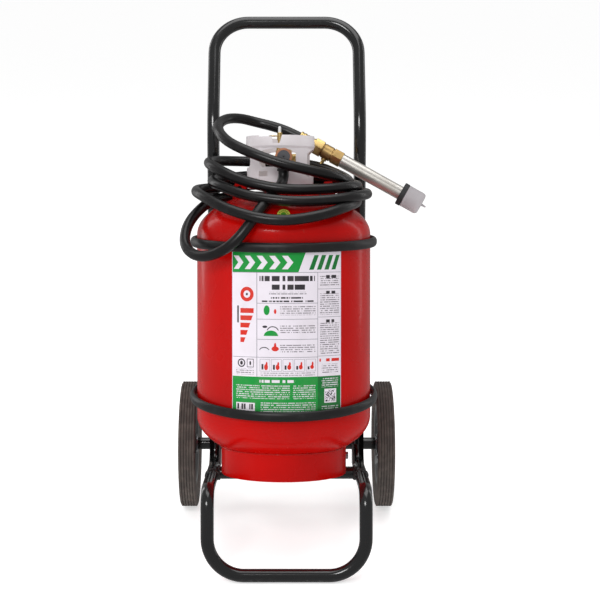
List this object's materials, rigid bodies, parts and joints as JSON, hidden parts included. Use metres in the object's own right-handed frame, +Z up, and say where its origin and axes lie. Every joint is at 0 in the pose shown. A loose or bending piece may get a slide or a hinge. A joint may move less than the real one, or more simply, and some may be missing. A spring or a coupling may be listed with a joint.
{
  "type": "wheeled fire extinguisher",
  "caption": "Red cylindrical fire extinguisher on a bent-tube trolley with two wheels, coiled discharge hose, nozzle and guarded valve.",
  "frame": {"origin": "on the floor, under the middle of the parked trolley", "axes": "+Z up, +X to the right seen from the front, +Y towards the handle and wheels"},
  "size_m": [0.442, 0.4912, 0.8921],
  "materials": {
    "frame_black": "gloss",
    "red_enamel": "gloss",
    "hoop_rubber": "satin",
    "hose_rubber": "satin",
    "tyre_rubber": "matte",
    "rim_black": "satin",
    "zinc_steel": "satin",
    "stainless": "brushed",
    "brass_bright": "satin",
    "brass_cast": "satin",
    "copper_ring": "satin",
    "guard_plastic": "satin",
    "white_plastic": "gloss",
    "cap_plastic": "satin",
    "black_plastic": "matte",
    "grey_plastic": "matte",
    "red_plastic": "gloss",
    "label_print": "gloss",
    "sticker_print": "gloss",
    "bush_nylon": "satin"
  },
  "bodies": {
    "trolley": {"axle_nuts": "zinc_steel", "axle_rod": "zinc_steel", "axle_tube": "frame_black", "axle_washers": "zinc_steel", "base_skirt": "red_enamel", "cross_bar": "frame_black", "dip_strainer": "grey_plastic", "dip_tube": "grey_plastic", "foot_loop": "frame_black", "frame_gussets": "frame_black", "frame_spigots": "zinc_steel", "front_label": "label_print", "guard_clamp": "black_plastic", "handle_loop": "frame_black", "hose_coil": "hose_rubber", "hose_lead": "hose_rubber", "hose_tail": "hose_rubber", "lifting_lugs": "red_enamel", "lower_hoop_rod": "zinc_steel", "lower_hoop_sleeve": "hoop_rubber", "neck_collar": "red_enamel", "neck_seal": "black_plastic", "nozzle_barrel": "stainless", "nozzle_collar": "black_plastic", "nozzle_crimp": "brass_bright", "nozzle_inlet_nut": "brass_bright", "nozzle_outlet_nut": "brass_cast", "nozzle_tap_body": "brass_cast", "outlet_cap": "grey_plastic", "outlet_elbow": "black_plastic", "outlet_ferrule": "black_plastic", "outlet_ring": "copper_ring", "round_sticker": "sticker_print", "side_port_cap": "red_plastic", "side_port_nut": "brass_bright", "skirt_bolt": "zinc_steel", "upper_hoop_rod": "zinc_steel", "upper_hoop_sleeve": "hoop_rubber", "valve_body": "brass_bright", "valve_guard": "guard_plastic", "vessel_shell": "red_enamel"},
    "left_wheel": {"left_tyre": "tyre_rubber", "left_rim": "rim_black", "left_rim_bolts": "zinc_steel", "left_bush": "bush_nylon"},
    "right_wheel": {"right_tyre": "tyre_rubber", "right_rim": "rim_black", "right_rim_bolts": "zinc_steel", "right_bush": "bush_nylon"},
    "strike_plunger": {"plunger": "brass_bright", "plunger_tip": "white_plastic"},
    "safety_pin": {"safety_pin": "brass_bright"},
    "nozzle_tap": {"tap_ball": "zinc_steel", "tap_stem": "brass_bright", "tap_lever": "brass_bright"},
    "nozzle_cap": {"nozzle_cap": "cap_plastic", "cap_pin": "cap_plastic"}
  },
  "joints": [
    {"name": "left_wheel_spin", "type": "hinge", "parent": "trolley", "child": "left_wheel", "pos_m": [-0.179, 0.10192, 0.115], "axis": [1, 0, 0], "continuous": true},
    {"name": "right_wheel_spin", "type": "hinge", "parent": "trolley", "child": "right_wheel", "pos_m": [0.179, 0.10192, 0.115], "axis": [1, 0, 0], "continuous": true},
    {"name": "plunger_press", "type": "slide", "parent": "trolley", "child": "strike_plunger", "axis": [0, -0.2079, -0.9781], "range_m": [0, 0.003], "stiffness_N_per_m": 400},
    {"name": "safety_pin_pull", "type": "slide", "parent": "trolley", "child": "safety_pin", "axis": [-1, 0, 0], "range_m": [0, 0.035]},
    {"name": "nozzle_tap_turn", "type": "hinge", "parent": "trolley", "child": "nozzle_tap", "pos_m": [0.07246, 0.09988, 0.66221], "axis": [-0.4896, -0.1811, -0.8529], "range_deg": [0, 90]},
    {"name": "nozzle_cap_pull", "type": "slide", "parent": "trolley", "child": "nozzle_cap", "axis": [0.8689, -0.1833, -0.4598], "range_m": [0, 0.04]}
  ]
}
